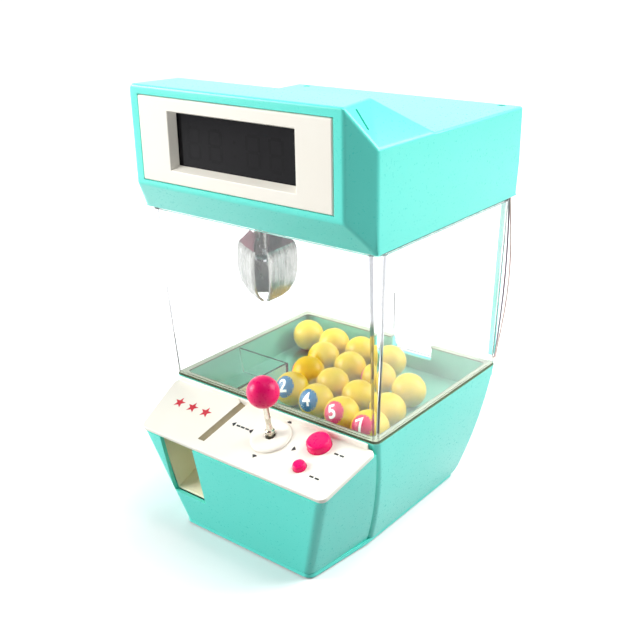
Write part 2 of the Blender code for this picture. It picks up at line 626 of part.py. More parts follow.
def make_rear_body():
    curve = (16.0, 28.0, 40.0, 52.0, 63.0)
    levels = rear_levels(0.0, (BASE_LOW, 4.6, 6.5) + curve + (BASE_TOP,))
    for index, rounding in enumerate((2.6, 0.8)):  # the lower back edge is rounded
        z, x0, x1, y0, y1 = levels[index]
        levels[index] = (z, x0, x1, y0, y1 - rounding)
    body = tapered("rear_body", levels, BASE_CORNER, TURQUOISE, 4)
    inner_levels = rear_levels(REAR_WALL, (BASE_LOW - 2,) + curve + (BASE_TOP + 2,))
    inside = tapered("cut_rear_inside", inner_levels, BASE_CORNER - REAR_WALL, None, 4)
    cut(body, inside)
    # The battery bay is moulded onto the back wall, and opens through it.
    join(body, back_slab("part_bay", BAY_HALF + 1.6, BAY_LOW - 1.6, BAY_HIGH + 1.6, 1.0, BAY_DEPTH + 1.6))
    cut(body, back_slab("cut_bay", BAY_HALF, BAY_LOW, BAY_HIGH, -3.0, BAY_DEPTH))
    # A boss at the back right corner takes the wires, and two ears beside a notch take the hatch's pins.
    rings = []
    for z, x0, x1, y0, y1 in ((65.0, 58.6, 64.0, 68.9, 73.4), (BASE_TOP, 60.0, 64.2, 69.6, 73.6)):
        corners = [(x0, y0), (x1, y0), (x1, y1 - 1.0), (x1 - 1.0, y1), (x0, y1)]
        rings.append([(x, y, z) for x, y in corners])
    join(body, loft("part_wire_boss", rings, None))
    cut(body, rod("cut_wire_hole", (WIRE_HOLE_X, WIRE_Y, 65.5), (0, 0, 1), 1.25, 12.0))
    cut(body, block("cut_hatch_notch", (HATCH_LEFT + 1.5, 60.0, HATCH_LOW), (HATCH_RIGHT - 1.5, 80.0, 80.0)))
    for x0, x1 in ((HATCH_LEFT - 1.4, HATCH_LEFT + 1.5), (HATCH_RIGHT - 1.5, HATCH_RIGHT + 1.4)):
        join(body, block(f"part_hatch_ear_{x0}", (x0, 69.0, 64.4), (x1, 74.2, 68.8)))
    axle = (HATCH_LEFT - 5.0, HATCH_PIN_Y, HATCH_PIN_Z)
    cut(body, rod("cut_hatch_axle", axle, (1, 0, 0), 1.15, HATCH_RIGHT - HATCH_LEFT + 10.0))
    rings = []
    for z, left in ((17.0, -46.9), (60.0, -51.9)):
        rings.append([(x, y, z) for x, y in rectangle(left, -21.0, -50.0, -15.0)])
    cut(body, loft("cut_chute_way", rings, None))
    cut(body, block("cut_cable_way", (10.0, -50.0, 10.0), (40.0, -15.0, 30.0)))
    switch_z = 30.0
    cut(body, block("cut_switch_slot", (-44.5, 54.0, switch_z - 2.3), (-33.5, 80.0, switch_z + 2.3)))
    smooth(body)
    y = rear_back(switch_z)
    switch = block(
        "power_switch",
        (-44.0, y - 4.5, switch_z - 1.9),
        (-38.6, y - 0.2, switch_z + 1.9),
        BLACK,
        origin=(-41.3, y, switch_z),
    )
    join(switch, block("part_switch_thumb", (-42.6, y - 2.0, switch_z - 1.2), (-40.0, y + 1.6, switch_z + 1.2)))
    door_low, door_high = BAY_LOW + GAP, BAY_HIGH - GAP
    hinge = (0.0, rear_back(door_low) - 0.9, door_low + 0.9)
    door = back_slab("battery_door", BAY_HALF - GAP, door_low, door_high, 0.0, 1.8, TURQUOISE, hinge)
    bevel(door, 0.4, 1)
    for index in range(3):
        z = BAY_LOW + 8.0 + 15.2 * index
        y = rear_back(z) - 9.8
        profile = [(7.0, -25.0), (7.1, -24.6), (7.1, 24.0), (6.6, 24.6), (2.7, 24.6), (2.7, 25.6)]
        axis = (1, 0, 0) if index != 1 else (-1, 0, 0)
        turned(f"battery_{index + 1}", profile, (0.0, y, z), axis, CELL, 16)


def tray_levels(inset, z_values):
    return rear_levels(REAR_WALL + GAP + inset, z_values)


def make_prize_tray():
    low = TRAY_FLOOR - TRAY_WALL
    tray = tapered("prize_tray", tray_levels(0.0, (low, BASE_TOP - GAP)), BASE_CORNER - REAR_WALL, TURQUOISE, 4)
    inside = tapered("cut_tray_inside", tray_levels(TRAY_WALL, (TRAY_FLOOR, BASE_TOP + 2)), 1.6, None, 4)
    hole = block("cut_chute_hole", (-49.6, -31.0, 50.0), (-28.4, 3.6, 64.0))
    notch = block("cut_tray_notch", (HATCH_LEFT + 1.5, 60.0, HATCH_LOW), (HATCH_RIGHT - 1.5, 80.0, 80.0))
    cut(tray, inside, hole, notch)
    smooth(tray)


def make_chute():
    """A channel that slopes from the hole in the tray's floor down to the exit in the front wall."""

    def channel(name, outline, shrink, material):
        """An outline in Y and Z, with an upright right side and a left side that leans as the base does."""
        left = [(-45.5 - (z - 20.0) * 0.128 + shrink, y, z) for y, z in outline]
        return loft(name, [left, [(-22.2 - shrink, y, z) for y, z in outline]], material)

    back, top, wall = 4.8, TRAY_FLOOR - TRAY_WALL - GAP, 1.1
    floor_back, floor_front = 47.0, EXIT_LOW + 1.5
    slope = (floor_back - floor_front) / (back - housing_inside(floor_front))
    outline = [(back, floor_back - wall), (back, top), (-68.6, top), (housing_inside(54.5), 54.5)]
    outline += [(housing_inside(floor_front - wall), floor_front - wall)]
    chute = channel("prize_chute", outline, 0.0, CREAM)
    far = -90.0
    hollow = [(back - wall, floor_back), (back - wall, top + 20), (far, top + 20)]
    hollow += [(far, floor_back - slope * (back - far))]
    cut(chute, channel("cut_chute", hollow, wall, None))


def housing_inside(z):
    """How far forward a piece behind the control housing's front wall may reach at this height."""
    t = (z - BASE_LOW) / (PANEL_FRONT_Z - BASE_LOW)
    return lerp(FRONT_LOW_Y, FRONT_TOP_Y, t) + REAR_WALL + 0.4


def make_chute_guard():
    """Two clear walls that stand on the tray's floor and keep the prizes out of the chute."""
    low, high = TRAY_FLOOR + GAP, BASE_TOP - 0.5
    right, back, wall = -26.4, 5.6, 1.3
    side_rings, back_rings = [], []
    for z in (low, high):
        _, tray_left, _, tray_front, _ = tray_levels(TRAY_WALL + GAP, (z,))[0]
        side_rings.append([(x, y, z) for x, y in rectangle(right - wall, right, tray_front, back)])
        back_rings.append([(x, y, z) for x, y in rectangle(tray_left, right - 0.2, back - wall, back)])
    guard = loft("chute_guard", side_rings, CLEAR)
    join(guard, loft("part_guard_back", back_rings, None))


def housing_outline(z, inset, reach, radius):
    """The control housing seen from above at one height: front corners rounded, back edge by the rear body."""
    t = (z - BASE_LOW) / (PANEL_FRONT_Z - BASE_LOW)
    front, half = lerp(FRONT_LOW_Y, FRONT_TOP_Y, t) + inset, lerp(FRONT_LOW_HALF, FRONT_TOP_HALF, t) - inset
    _, _, back_half, back, _ = rear_levels(0.0, (z,))[0]
    back, back_half = back - GAP + reach, back_half - lerp(1.5, 0.4, t) - inset
    corners = [(-half, front), (half, front), (back_half, back), (-back_half, back)]
    return fillet(corners, [radius, radius, 0, 0], 4)


def panel_point(x, s, h):
    """A place on the control panel: x across, s up the slope from its front edge, h above its surface."""
    slope = math.atan2(PANEL_BACK_Z - PANEL_FRONT_Z, PANEL_BACK_Y - PANEL_FRONT_Y)
    y = PANEL_FRONT_Y + s * math.cos(slope) - h * math.sin(slope)
    return Vector((x, y, PANEL_FRONT_Z + s * math.sin(slope) + h * math.cos(slope)))


PANEL_LENGTH = math.hypot(PANEL_BACK_Z - PANEL_FRONT_Z, PANEL_BACK_Y - PANEL_FRONT_Y)
PANEL_UP = (panel_point(0, 0, 1) - panel_point(0, 0, 0)).normalized()


def panel_slab(name, corners, radius, low, high, material=None):
    outline = fillet(corners, radius, 4)
    return loft(name, [[tuple(panel_point(x, s, h)) for x, s in outline] for h in (low, high)], material)


def make_housing():
    def solid(name, inset, reach, radius, foot, material):
        rings = []
        for z in (BASE_LOW - foot, 14.0, 26.0, 38.0, 50.0, 62.0, 80.0):
            rings.append([(x, y, z) for x, y in housing_outline(z, inset, reach, radius)])
        return loft(name, rings, material)

    housing = solid("control_housing", 0.0, 0.0, 5.0, 0.0, TURQUOISE)
    under_panel = -PANEL_THICK - GAP
    above = [(panel_point(0, s, under_panel).y, panel_point(0, s, under_panel).z) for s in (-30.0, 60.0)]
    above += [(above[1][0], 140.0), (above[0][0], 140.0)]
    cut(housing, extruded_x("cut_above_panel", above, -90.0, 90.0))
    cut(housing, solid("cut_housing_inside", REAR_WALL, 8.0, 3.0, 3.0, None))
    cut(housing, block("cut_exit", (EXIT_LEFT, -90.0, EXIT_LOW), (EXIT_RIGHT, -60.0, 70.0)))
    smooth(housing)


def make_panel():
    front, back = FRONT_TOP_HALF - 0.1, REAR_TOP_HALF - 0.4
    corners = [(-front, -0.235), (front, -0.235), (back, PANEL_LENGTH), (-back, PANEL_LENGTH)]
    panel = panel_slab("control_panel", corners, [4.0, 4.0, 2.6, 2.6], -PANEL_THICK, 0.0, CREAM)
    bevel(panel, 0.6, 2, 40.0)
    # An upturned lip along the back edge closes the step up to the clear case.
    foot, root = panel_point(0, PANEL_LENGTH - 1.0, -0.3), panel_point(0, PANEL_LENGTH - 0.7, 0.5)
    section = [(foot.y, foot.z), (root.y, root.z), (-43.7, 72.6), (-43.3, 73.1), (-42.75, 73.1), (-42.4, 70.0)]
    join(panel, extruded_x("part_panel_lip", section, -LIP_HALF, LIP_HALF))
    # A groove with one leaning side divides the exit's end of the panel from the controls.
    rings = []
    for s, x in ((5.6, -21.3), (34.9, -16.45)):
        section = ((-2.6, 4.0), (2.2, 4.0), (2.2, -1.9), (1.0, -1.9), (-2.2, -0.2))
        rings.append([tuple(panel_point(x + dx, s, h)) for dx, h in section])
    cut(panel, loft("cut_panel_groove", rings, None))
    for name, x, s, radius in (
        ("joystick", JOYSTICK_X, JOYSTICK_S, 7.4),
        ("down", DOWN_X, DOWN_S, DOWN_RADIUS + GAP),
        ("mode", MODE_X, MODE_S, MODE_RADIUS + GAP),
    ):
        base = tuple(panel_point(x, s, -6.0))
        cut(panel, rod(f"cut_{name}_hole", base, tuple(PANEL_UP), radius, 12.0, sides=24))
    smooth(panel)


# ---------------------------------------------------------------- controls

LEVER_UP = Vector((0.0, -math.sin(math.radians(LEVER_TILT)), math.cos(math.radians(LEVER_TILT))))


def make_joystick():
    """A lever with a ball knob, tilting in a gimbal ring below a fixed disc."""
    pivot = panel_point(JOYSTICK_X, JOYSTICK_S, 0.0)
    base = tuple(panel_point(JOYSTICK_X, JOYSTICK_S, GAP))
    profile = [(10.6, 0.0), (10.6, 0.4), (9.8, 0.9), (4.4, 1.0), (2.7, 1.0), (2.7, 0.0)]
    turned("joystick_disc", profile, base, tuple(PANEL_UP), CREAM, 32, closed=True)
    profile = [(5.6, -3.2), (5.6, -1.4), (3.3, -1.4), (3.3, -3.2)]
    ring = turned("joystick_gimbal", profile, tuple(pivot), tuple(PANEL_UP), NYLON, 20, closed=True)
    for side in (-1, 1):
        join(ring, rod(f"part_gimbal_pin_{side}", tuple(pivot + Vector((side * 4.6, 0.8, -2.1))), (side, 0, 0), 0.7, 2.2))
    profile = [(1.2, -9.0), (1.2, -1.6), (1.5, -1.2), (1.5, 2.6), (2.5, 2.9), (2.5, 4.2), (1.6, 4.8), (1.3, 19.2)]
    turned("joystick_lever", profile, tuple(pivot), tuple(LEVER_UP), STEEL, 16)
    centre = pivot + LEVER_UP * KNOB_REACH
    profile = [(3.2, -7.0)]
    for angle in range(40, 180, 20):
        turn = math.radians(angle)
        profile.append((KNOB_RADIUS * math.sin(turn), -KNOB_RADIUS * math.cos(turn)))
    profile.append((0, KNOB_RADIUS))
    turned("joystick_knob", profile, tuple(centre), tuple(LEVER_UP), PINK, 20)


def make_button(name, x, s, radius, height, depth, dome):
    """A cap with a domed top and a stem below the panel."""
    base = tuple(panel_point(x, s, 0.0))
    profile = [(1.6, -depth), (1.6, -4.6), (radius, -4.6), (radius, height - dome)]
    profile += [(radius * math.cos(math.radians(a)), height - dome + dome * math.sin(math.radians(a))) for a in (30, 60)]
    profile.append((0, height))
    turned(name, profile, base, tuple(PANEL_UP), PINK, 20)


def make_controls():
    make_joystick()
    make_button("down_button", DOWN_X, DOWN_S, DOWN_RADIUS, 4.2, 9.8, 1.2)
    make_button("mode_button", MODE_X, MODE_S, MODE_RADIUS, 2.8, 9.8, 0.8)
    corners = rectangle(-8.0, 52.0, 5.5, 32.0)
    board = panel_slab("control_board", corners, 1.0, -14.0, -12.4, BOARD)
    for index, (x, s) in enumerate(((DOWN_X, DOWN_S), (MODE_X, MODE_S))):
        outline = rectangle(x - 3.0, x + 3.0, s - 3.0, s + 3.0)
        join(board, panel_slab(f"part_key_{index}", outline, 0.4, -12.8, -11.6))


def make_bottom():
    """The plate that closes the base from below, with four moulded feet, and the speaker on it."""
    corners = [(-43.0, -64.4), (43.0, -64.4), (48.2, -22.4), (48.2, 62.4), (-48.2, 62.4), (-48.2, -22.4)]
    outline = fillet(corners, [4.6, 4.6, 20.0, 4.6, 4.6, 20.0], 4)
    plate = loft("base_plate", [[(x, y, z) for x, y in outline] for z in (0.9, 3.0)], TURQUOISE)
    for x, y in ((-36.0, -57.0), (36.0, -57.0), (-41.0, 55.0), (41.0, 55.0)):
        join(plate, rod(f"part_foot_{x}_{y}", (x, y, 0.0), (0, 0, 1), 4.5, 2.0, sides=12))
    profile = [(13.5, 0.0), (13.5, 2.4), (9.0, 4.0), (6.0, 8.0), (6.0, 10.5), (0, 10.5)]
    turned("speaker", profile, (12.0, 6.0, 3.0 + GAP), (0, 0, 1), BLACK, 20)
    for ring in range(2):
        for step in range(6 if ring else 1):
            angle = math.radians(60.0 * step)
            x, y = 12.0 + 7.0 * ring * math.cos(angle), 6.0 + 7.0 * ring * math.sin(angle)
            cut(plate, rod(f"cut_sound_{ring}_{step}", (x, y, -1.0), (0, 0, 1), 1.2, 6.0, sides=8))


def make_balls():
    """Prize balls in staggered rows on the tray's floor."""
    sides, rings = 12, 7
    profile = [(0, -BALL_RADIUS)]
    for ring in range(1, rings):
        angle = math.pi * ring / rings
        profile.append((BALL_RADIUS * math.sin(angle), -BALL_RADIUS * math.cos(angle)))
    profile.append((0, BALL_RADIUS))
    number = 1
    for first_x, first_y, step_x, step_y, count in BALL_ROWS:
        for step in range(count):
            centre = (first_x + step_x * step, first_y + step_y * step, TRAY_FLOOR + BALL_RADIUS + GAP)
            turned(f"prize_ball_{number:02d}", profile, centre, (0, 0, 1), YELLOW, sides)
            number += 1


make_head_shell()
make_display()
make_head_deck()
make_bridge()
make_trolley()
make_claw_hub()
for finger_index in range(FINGER_COUNT):
    make_finger(finger_index)
make_case()
make_wire_channel()
make_rear_body()
make_prize_tray()
make_chute()
make_chute_guard()
make_housing()
make_panel()
make_controls()
make_bottom()
make_balls()
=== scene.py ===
"""Looks of the desktop claw crane machine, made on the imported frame. Everything is in metres."""

import json
import math

import bmesh
import bpy
from mathutils import Matrix, Vector


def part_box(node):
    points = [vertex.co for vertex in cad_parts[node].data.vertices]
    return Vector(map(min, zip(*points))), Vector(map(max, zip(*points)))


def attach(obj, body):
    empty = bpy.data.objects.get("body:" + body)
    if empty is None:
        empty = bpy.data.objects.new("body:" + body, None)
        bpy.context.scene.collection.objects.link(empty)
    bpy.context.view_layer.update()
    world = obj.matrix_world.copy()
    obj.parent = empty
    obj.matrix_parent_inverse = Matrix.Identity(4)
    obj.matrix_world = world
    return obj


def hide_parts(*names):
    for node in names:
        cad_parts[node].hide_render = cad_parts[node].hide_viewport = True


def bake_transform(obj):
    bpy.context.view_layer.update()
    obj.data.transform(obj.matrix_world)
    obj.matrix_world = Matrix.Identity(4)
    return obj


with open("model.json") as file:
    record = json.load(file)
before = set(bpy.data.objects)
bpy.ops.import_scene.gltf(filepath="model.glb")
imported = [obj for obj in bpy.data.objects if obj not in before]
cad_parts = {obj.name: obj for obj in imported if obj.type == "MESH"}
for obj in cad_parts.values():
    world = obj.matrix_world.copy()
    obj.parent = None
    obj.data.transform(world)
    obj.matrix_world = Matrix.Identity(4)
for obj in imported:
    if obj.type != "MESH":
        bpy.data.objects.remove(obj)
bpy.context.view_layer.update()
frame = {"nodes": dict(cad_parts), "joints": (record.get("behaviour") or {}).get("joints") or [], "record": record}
NODES = frame["nodes"]
BODY_OF = {node: body for body, members in frame["record"]["behaviour"]["bodies"].items() for node in members}
JOINTS = {joint["name"]: joint for joint in frame["joints"]}
MM = 0.001


# ---------------------------------------------------------------- camera, light and floor


CAMERA_TURN = (38.634, 22.065, -0.997)  # azimuth, elevation and roll in degrees
CAMERA_PLACE = (0.2861, -0.3573, 0.2918)
CAMERA_LENS, CAMERA_SENSOR = 53.29, 36.0  # in millimetres
HORIZON_TOP, SKY_FOOT = 0.10, 0.36  # the sines of the elevations between which the horizon fades into the sky
SKY = 0.17  # how bright the sky is beside the horizon
AIM = Vector((0.0, 0.0, 0.11))  # what the softboxes face


def make_camera():
    """The camera, at the photo's angle and distance."""
    azimuth, elevation, roll = (math.radians(a) for a in CAMERA_TURN)
    back = Vector(
        (
            math.sin(azimuth) * math.cos(elevation),
            -math.cos(azimuth) * math.cos(elevation),
            math.sin(elevation),
        )
    )
    right = (-back).cross(Vector((0, 0, 1))).normalized()
    up = right.cross(-back)
    turned_right = right * math.cos(roll) + up * math.sin(roll)
    turned_up = up * math.cos(roll) - right * math.sin(roll)
    data = bpy.data.cameras.new("camera")
    data.lens, data.sensor_width = CAMERA_LENS, CAMERA_SENSOR
    data.clip_start, data.clip_end = 0.01, 60.0
    camera = bpy.data.objects.new("camera", data)
    bpy.context.scene.collection.objects.link(camera)
    spin = Matrix((turned_right, turned_up, back)).transposed().to_4x4()
    camera.matrix_world = Matrix.Translation(CAMERA_PLACE) @ spin
    bpy.context.scene.camera = camera


def add_area(name, azimuth, elevation, distance, size, power):
    """A softbox aimed at the object, from a direction given in degrees from the front, towards +X."""
    turn, rise = math.radians(azimuth), math.radians(elevation)
    way = Vector((math.sin(turn) * math.cos(rise), -math.cos(turn) * math.cos(rise), math.sin(rise)))
    data = bpy.data.lights.new(name, "AREA")
    data.shape, data.size, data.size_y = "RECTANGLE", size[0], size[1]
    data.energy = power
    light = bpy.data.objects.new(name, data)
    light.location = AIM + way * distance
    light.rotation_euler = (-way).to_track_quat("-Z", "Y").to_euler()
    light.visible_camera = light.visible_transmission = False
    bpy.context.scene.collection.objects.link(light)


def make_world():
    """A bright low horizon under a dimmer sky."""
    world = bpy.data.worlds.new("studio")
    bpy.context.scene.world = world
    world.use_nodes = True
    tree = world.node_tree
    background = tree.nodes["Background"]
    place = tree.nodes.new("ShaderNodeTexCoord")
    split = tree.nodes.new("ShaderNodeSeparateXYZ")
    ramp = tree.nodes.new("ShaderNodeValToRGB")
    link(tree, place.outputs["Generated"], split.inputs[0])
    link(tree, split.outputs["Z"], ramp.inputs[0])
    horizon, sky = ramp.color_ramp.elements
    horizon.position, horizon.color = HORIZON_TOP, (1.0, 1.0, 1.0, 1)
    sky.position, sky.color = SKY_FOOT, (SKY, SKY, SKY * 1.03, 1)
    link(tree, ramp.outputs[0], background.inputs["Color"])
    background.inputs["Strength"].default_value = 1.0


def make_floor():
    """A wide floor of white paper, which sends less light back onto the object than the camera sees on it."""
    mesh = bpy.data.meshes.new("floor")
    mesh.from_pydata([(-15, -15, 0), (15, -15, 0), (15, 15, 0), (-15, 15, 0)], [], [(0, 1, 2, 3)])
    floor = bpy.data.objects.new("floor", mesh)
    bpy.context.scene.collection.objects.link(floor)
    material = bpy.data.materials.new("floor_paper")
    material.use_nodes = True
    tree = material.node_tree
    shader = tree.nodes["Principled BSDF"]
    path = tree.nodes.new("ShaderNodeLightPath")
    tone = mix_colours(tree, path.outputs["Is Diffuse Ray"], (0.93, 0.935, 0.94), (0.16, 0.165, 0.17))
    link(tree, tone, shader.inputs["Base Color"])
    shader.inputs["Roughness"].default_value = 0.9
    shader.inputs["Specular IOR Level"].default_value = 0.1
    mesh.materials.append(material)


def make_lights():
    """A wide soft light from above, and softboxes at the left front, the right back and the left back."""
    sun = bpy.data.lights.new("overhead", "SUN")
    sun.energy, sun.angle = 3.2, math.radians(48)
    lamp = bpy.data.objects.new("overhead", sun)
    lamp.rotation_euler = Vector((0.27, 0.32, 0.906)).to_track_quat("Z", "Y").to_euler()
    bpy.context.scene.collection.objects.link(lamp)
    add_area("left_front_box", -54.0, 19.0, 1.2, (0.6, 0.6), 16.5)
    add_area("right_back_box", 136.0, 28.0, 1.2, (0.6, 0.6), 10.0)
    add_area("back_panel", 218.0, 27.0, 1.5, (1.7, 0.8), 4.2)


# ---------------------------------------------------------------- materials


def link(tree, a, b):
    tree.links.new(a, b)


def noise_node(tree, source, scale, detail=3.0, stretch=None):
    """A noise in the piece's own coordinates, with scale in features per metre."""
    if stretch:
        mapping = tree.nodes.new("ShaderNodeMapping")
        mapping.inputs["Scale"].default_value = stretch
        link(tree, source, mapping.inputs["Vector"])
        source = mapping.outputs[0]
    noise = tree.nodes.new("ShaderNodeTexNoise")
    noise.inputs["Scale"].default_value = scale
    noise.inputs["Detail"].default_value = detail
    link(tree, source, noise.inputs["Vector"])
    return noise.outputs["Fac"]


def map_range(tree, value, low, high, start=0.3, end=0.7):
    node = tree.nodes.new("ShaderNodeMapRange")
    for key, number in zip(("From Min", "From Max", "To Min", "To Max"), (start, end, low, high)):
        node.inputs[key].default_value = number
    link(tree, value, node.inputs["Value"])
    return node.outputs[0]


def mix_colours(tree, factor, first, second):
    node = tree.nodes.new("ShaderNodeMix")
    node.data_type = "RGBA"
    for socket, colour in ((node.inputs[6], first), (node.inputs[7], second)):
        if isinstance(colour, tuple):
            socket.default_value = (*colour, 1.0)
        else:
            link(tree, colour, socket)
    link(tree, factor, node.inputs[0])
    return node.outputs[2]


def finish_material(
    name,
    colour,
    roughness,
    second,
    spread=0.06,
    patch=60.0,
    grain=900.0,
    bump=0.04,
    stretch=None,
    **sockets,
):
    """A Principled material whose colour, roughness and bump vary by noise.

    second is the colour it drifts to, spread is how far its roughness varies, and patch and grain are
    features per metre.
    """
    material = bpy.data.materials.new(name)
    material.use_nodes = True
    tree = material.node_tree
    shader = tree.nodes["Principled BSDF"]
    place = tree.nodes.new("ShaderNodeTexCoord").outputs["Object"]
    broad = noise_node(tree, place, patch, 4.0, stretch)
    fine = noise_node(tree, place, grain, 3.0, stretch)
    shade = mix_colours(tree, map_range(tree, broad, 0.0, 1.0), colour, second)
    link(tree, shade, shader.inputs["Base Color"])
    rough = map_range(tree, fine, roughness * (1.0 - 2.5 * spread), roughness * (1.0 + 3.5 * spread))
    link(tree, rough, shader.inputs["Roughness"])
    surface = tree.nodes.new("ShaderNodeBump")
    surface.inputs["Strength"].default_value = bump
    surface.inputs["Distance"].default_value = 0.0004
    link(tree, fine, surface.inputs["Height"])
    link(tree, surface.outputs[0], shader.inputs["Normal"])
    for socket, value in sockets.items():
        shader.inputs[socket.replace("_", " ")].default_value = value
    return material


def clear_material(name, tint, roughness, index=1.47):
    """Clear plastic with faint moulding waves. Shadow rays pass straight through it."""
    material = bpy.data.materials.new(name)
    material.use_nodes = True
    tree = material.node_tree
    shader = tree.nodes["Principled BSDF"]
    shader.inputs["Base Color"].default_value = (*tint, 1.0)
    shader.inputs["Transmission Weight"].default_value = 1.0
    shader.inputs["IOR"].default_value = index
    place = tree.nodes.new("ShaderNodeTexCoord").outputs["Object"]
    haze = noise_node(tree, place, 45.0, 3.0)
    link(tree, map_range(tree, haze, roughness * 0.3, roughness), shader.inputs["Roughness"])
    surface = tree.nodes.new("ShaderNodeBump")
    surface.inputs["Strength"].default_value = 0.012
    surface.inputs["Distance"].default_value = 0.0003
    link(tree, noise_node(tree, place, 70.0, 2.0), surface.inputs["Height"])
    link(tree, surface.outputs[0], shader.inputs["Normal"])
    through = tree.nodes.new("ShaderNodeBsdfTransparent")
    through.inputs["Color"].default_value = (0.96, 0.975, 0.975, 1.0)
    path = tree.nodes.new("ShaderNodeLightPath")
    mixer = tree.nodes.new("ShaderNodeMixShader")
    link(tree, path.outputs["Is Shadow Ray"], mixer.inputs[0])
    link(tree, shader.outputs[0], mixer.inputs[1])
    link(tree, through.outputs[0], mixer.inputs[2])
    link(tree, mixer.outputs[0], tree.nodes["Material Output"].inputs["Surface"])
    return material


TURQUOISE = finish_material(
    "turquoise_abs", (0.115, 0.85, 0.72), 0.28, (0.11, 0.835, 0.705), spread=0.012, patch=30.0, bump=0.003
)
TRAY_GREEN = finish_material("turquoise_tray", (0.135, 0.42, 0.295), 0.36, (0.125, 0.39, 0.27), bump=0.01)
CREAM = finish_material(
    "cream_abs", (0.955, 0.92, 0.82), 0.36, (0.95, 0.905, 0.80), patch=40.0, bump=0.008
)
CHUTE_CREAM = finish_material("cream_chute", (0.90, 0.86, 0.62), 0.45, (0.84, 0.80, 0.54), bump=0.01)
# painted half-shade on the leaning side of the panel's groove
GROOVE_PAINTED_HALF_SHADE = finish_material(
    "groove_tan_painted_half_shade", (0.46, 0.39, 0.25), 0.5, (0.40, 0.33, 0.20), patch=200.0, bump=0.1
)
# painted deep shade on the floor of the panel's groove
GROOVE_PAINTED_DEEP_SHADE = finish_material(
    "groove_brown_painted_deep_shade", (0.085, 0.065, 0.03), 0.55, (0.12, 0.09, 0.045), patch=200.0, bump=0.1
)
PINK = finish_material(
    "pink_abs",
    (0.94, 0.001, 0.15),
    0.30,
    (0.88, 0.001, 0.125),
    patch=90.0,
    bump=0.01,
    Specular_IOR_Level=0.3,
)
YELLOW = finish_material(
    "yellow_abs",
    (0.69, 0.475, 0.001),
    0.36,
    (0.64, 0.41, 0.001),
    patch=120.0,
    bump=0.02,
    Specular_IOR_Level=0.3,
)
CHROME = finish_material(
    "chrome_plating",
    (0.45, 0.45, 0.42),
    0.24,
    (0.20, 0.20, 0.19),
    patch=420.0,
    grain=700.0,
    bump=0.25,
    stretch=(1, 1, 0.1),
    Metallic=1.0,
)
# a painted reflection of the pink trolley, on the claw fingers' upper faces
CLAW_PAINTED_REFLECTION = finish_material(
    "claw_painted_pink_reflection",
    (0.27, 0.075, 0.105),
    0.2,
    (0.10, 0.05, 0.06),
    patch=300.0,
    grain=600.0,
    bump=0.15,
    Metallic=1.0,
)
NICKEL = finish_material("nickel", (0.66, 0.61, 0.52), 0.24, (0.52, 0.47, 0.38), grain=1200.0, Metallic=1.0)
STEEL = finish_material(
    "brushed_steel",
    (0.62, 0.62, 0.64),
    0.28,
    (0.5, 0.5, 0.52),
    grain=1500.0,
    stretch=(1, 0.1, 1),
    Metallic=1.0,
)
NYLON = finish_material("white_nylon", (0.84, 0.84, 0.80), 0.5, (0.78, 0.78, 0.73), bump=0.08)
BLACK = finish_material("black_abs", (0.018, 0.018, 0.02), 0.4, (0.03, 0.03, 0.032), bump=0.1)
DISPLAY = finish_material(
    "display_glass",
    (0.0062, 0.0058, 0.007),
    0.14,
    (0.0088, 0.0082, 0.0098),
    patch=30.0,
    bump=0.01,
    Specular_IOR_Level=0.06,
)
DISPLAY_EDGE = finish_material(
    "display_edge", (0.002, 0.002, 0.0022), 0.2, (0.003, 0.003, 0.003), bump=0.01, Specular_IOR_Level=0.05
)
UNLIT_SEGMENT = finish_material(
    "display_segment",
    (0.0048, 0.0045, 0.0054),
    0.14,
    (0.0068, 0.0064, 0.0076),
    bump=0.01,
    Specular_IOR_Level=0.06,
)
SOLDER_MASK = finish_material(
    "solder_mask", (0.02, 0.19, 0.08), 0.42, (0.015, 0.15, 0.06), patch=300.0, bump=0.1
)
CELL = finish_material("cell_sleeve", (0.10, 0.10, 0.12), 0.3, (0.07, 0.07, 0.09), bump=0.03)
COPPER = finish_material("copper_band", (0.75, 0.42, 0.20), 0.25, (0.62, 0.32, 0.15), Metallic=1.0)
WIRE = finish_material("wire_insulation", (0.17, 0.20, 0.26), 0.5, (0.24, 0.10, 0.13), patch=40.0)
WIRE_PALE = finish_material("wire_insulation_pale", (0.78, 0.52, 0.48), 0.5, (0.86, 0.70, 0.66))
CORD = finish_material(
    "braided_cord", (0.82, 0.81, 0.77), 0.85, (0.6, 0.59, 0.55), patch=2500.0, grain=4000.0, bump=0.6
)
INK_BLACK = finish_material("ink_black", (0.02, 0.02, 0.022), 0.5, (0.035, 0.035, 0.035), bump=0.1)
INK_RED = finish_material("ink_red", (0.72, 0.03, 0.05), 0.45, (0.62, 0.025, 0.045), bump=0.1)
LABEL_BLUE = finish_material("label_blue", (0.010, 0.145, 0.32), 0.35, (0.008, 0.12, 0.27), patch=500.0)
LABEL_PINK = finish_material("label_pink", (0.66, 0.03, 0.12), 0.35, (0.60, 0.025, 0.105), patch=500.0)
LABEL_WHITE = finish_material("label_white", (0.93, 0.90, 0.86), 0.4, (0.88, 0.84, 0.78), patch=500.0)
CLEAR = clear_material("clear_acrylic", (0.985, 0.995, 0.995), 0.05)
CLEAR_THIN = clear_material("clear_acrylic_thin", (0.985, 0.995, 0.995), 0.04, 1.16)
# painted grey that stands in for the light bent at the case's corner edges
CLEAR_PAINTED_REFRACTION = clear_material("clear_acrylic_painted_refraction", (0.36, 0.36, 0.38), 0.08)
# painted shadow for the lowest band of the clear case, where it meets the rear body
CASE_FOOT_PAINTED_SHADOW = finish_material("case_foot_painted_shadow", (0.10, 0.10, 0.055), 0.4, (0.18, 0.19, 0.12))
CASE_SOLE = finish_material("case_sole", (0.42, 0.47, 0.35), 0.4, (0.34, 0.36, 0.26))
